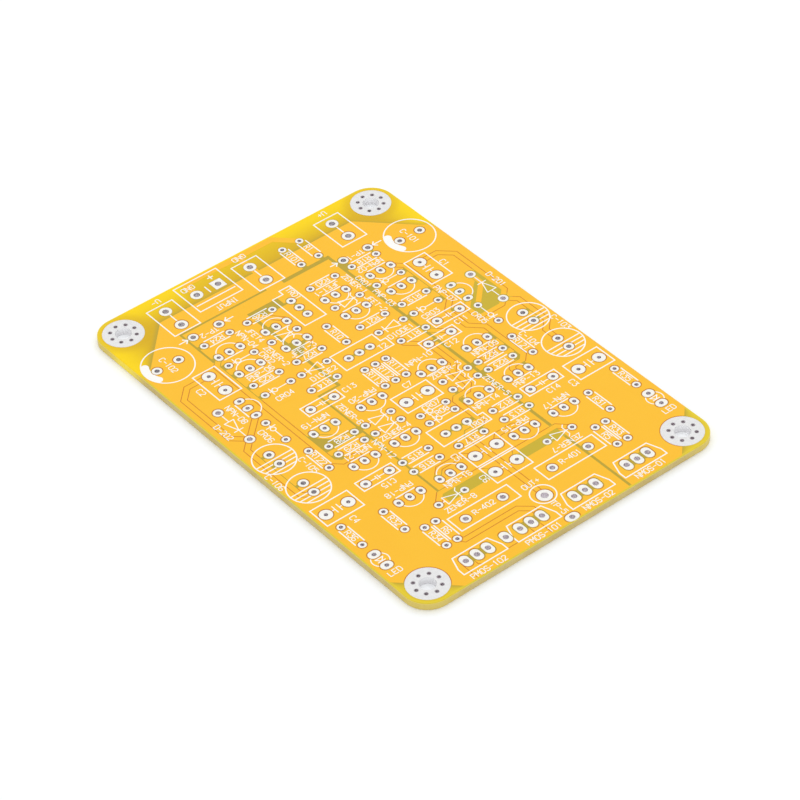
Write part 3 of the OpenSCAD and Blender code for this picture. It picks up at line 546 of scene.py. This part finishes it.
def signStrokes():
    found = []
    head = lettering["arrowHead"]
    for x, tail, tip in lettering["arrows"]:
        back = tip + math.copysign(head, tail - tip)
        found += [[(x, tail), (x, tip)], [(x - head, back), (x, tip), (x + head, back)]]
    x, y, half = lettering["plus"]
    left, right, level = lettering["minus"]
    found += [[(x - half, y), (x + half, y)], [(x, y - half), (x, y + half)]]
    found += [[(left, level), (right, level)]]
    return [[Vector((px, py, 0)) for px, py in line] for line in found]


def addStrokes(shape, found, width, thickness):
    curve = bpy.data.curves.new("strokes", "CURVE")
    curve.dimensions = "2D"
    curve.fill_mode = "NONE"
    curve.bevel_depth = width / 2
    curve.bevel_resolution = 1
    curve.use_fill_caps = True
    for points in found:
        closed = (points[0] - points[-1]).length < lettering["closedWithin"]
        if closed:
            points = points[:-1]
        spline = curve.splines.new("POLY")
        spline.points.add(len(points) - 1)
        for knot, point in zip(spline.points, points):
            knot.co = (*point, 1)
        spline.use_cyclic_u = closed
    drawn = bpy.data.objects.new("strokes", curve)
    bpy.context.scene.collection.objects.link(drawn)
    bpy.context.view_layer.update()
    graph = bpy.context.evaluated_depsgraph_get()
    mesh = bpy.data.meshes.new_from_object(drawn.evaluated_get(graph))
    bpy.data.objects.remove(drawn)
    mesh.transform(Matrix.Translation((0, 0, (lettering["level"] + thickness / 2) * mm))
                   @ Matrix.Diagonal((mm, mm, mm * thickness / width, 1)))
    shape.from_mesh(mesh)
    bpy.data.meshes.remove(mesh)


def makeLettering():
    shape = bmesh.new()
    prints = [(lettering["strokeW"], wordStrokes()), (lettering["signW"], signStrokes())]
    for width, found in prints:
        for k, thickness in enumerate(lettering["thickness"]):
            addStrokes(shape, found[k::2], width, thickness)
    bmesh.ops.remove_doubles(shape, verts=shape.verts, dist=lettering["mergeWithin"])
    bmesh.ops.recalc_face_normals(shape, faces=shape.faces)
    for face in shape.faces:
        face.smooth = False
    mesh = bpy.data.meshes.new("printed_lettering")
    shape.to_mesh(mesh)
    shape.free()
    mesh.materials.append(inkPaint.material)
    piece = bpy.data.objects.new("printed_lettering", mesh)
    bpy.context.scene.collection.objects.link(piece)
    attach(piece, "root")
    return piece


letters = makeLettering()
print("lettering made:", len(letters.data.polygons), "faces")


studio = {
    "floorSize": 4.0, "floorLevel": -0.02,  # in metres, and in millimetres
    "floorColour": srgb(249, 252, 255), "floorRoughness": 0.9, "floorSpecular": 0.1,
    "floorLift": 0.09,  # whitens the ground for the eye only
    "holeLift": 0.08, "holeR": (1.75, 1.55),  # painted light: the ground glows brighter under the mounting holes, for the eye only
    "skyStrength": 0.85,
    "keyPlace": (-0.45, 0.45, 1.0), "keySize": 0.9, "keyPower": 2.8,
}


def makeFloor():
    shape = bmesh.new()
    bmesh.ops.create_grid(shape, x_segments=1, y_segments=1, size=studio["floorSize"] / 2,
                          matrix=Matrix.Translation((0, 0, studio["floorLevel"] * mm)))
    mesh = bpy.data.meshes.new("floor")
    shape.to_mesh(mesh)
    shape.free()
    floor = bpy.data.objects.new("floor", mesh)
    bpy.context.scene.collection.objects.link(floor)
    paint = Paint("pale_floor")
    paint.feed("Base Color", studio["floorColour"])
    paint.feed("Roughness", studio["floorRoughness"])
    paint.feed("Specular IOR Level", studio["floorSpecular"])
    x, y, z = paint.axes()
    # the ground's lift for the eye: even whitening plus a painted glow under the mounting holes
    lift = studio["floorLift"] + toMount(x, y).step(*studio["holeR"]) * studio["holeLift"]
    paint.feed("Emission Color", paint.mix(paint.eyeRay() * lift, (0, 0, 0, 1), (1, 1, 1, 1)))
    paint.feed("Emission Strength", 1.0)
    mesh.materials.append(paint.material)


def makeSky():
    world = bpy.data.worlds.new("studio_sky")
    bpy.context.scene.world = world
    sky = Tree(world, "Background")
    sky.feed("Color", (1, 1, 1, 1))
    sky.feed("Strength", sky.eyeRay() * (1 - studio["skyStrength"]) + studio["skyStrength"])


def makeKey():
    lamp = bpy.data.lights.new("key_light", "AREA")
    lamp.size = studio["keySize"]
    lamp.energy = studio["keyPower"]
    key = bpy.data.objects.new("key_light", lamp)
    key.location = studio["keyPlace"]
    key.rotation_euler = Vector(studio["keyPlace"]).to_track_quat("Z", "Y").to_euler()
    key.visible_glossy = False
    bpy.context.scene.collection.objects.link(key)


makeFloor()
makeSky()
makeKey()
print("studio made")


viewpoint = {
    "target": (4.4, -2.97, 1.6), "distance": 645.6,  # in millimetres
    "azimuth": -37.585, "elevation": 41.102, "roll": -2.592,
    "focal": 3513.5, "pictureW": 800,  # in pixels
    "sensorW": 36.0, "nearest": 0.01,
}


def makeCamera():
    azimuth, elevation = [math.radians(viewpoint[angle]) for angle in ("azimuth", "elevation")]
    flat = math.cos(elevation)
    away = Vector((flat * math.cos(azimuth), flat * math.sin(azimuth), math.sin(elevation)))
    lens = bpy.data.cameras.new("camera")
    lens.sensor_width = viewpoint["sensorW"]
    lens.lens = viewpoint["focal"] / viewpoint["pictureW"] * viewpoint["sensorW"]
    lens.clip_start = viewpoint["nearest"]
    camera = bpy.data.objects.new("camera", lens)
    camera.location = (Vector(viewpoint["target"]) + away * viewpoint["distance"]) * mm
    roll = Matrix.Rotation(math.radians(viewpoint["roll"]), 3, "Z")
    camera.rotation_euler = (away.to_track_quat("Z", "Y").to_matrix() @ roll).to_euler()
    bpy.context.scene.collection.objects.link(camera)
    bpy.context.scene.camera = camera


makeCamera()
bpy.context.scene.view_settings.view_transform = "Standard"
print("camera set")
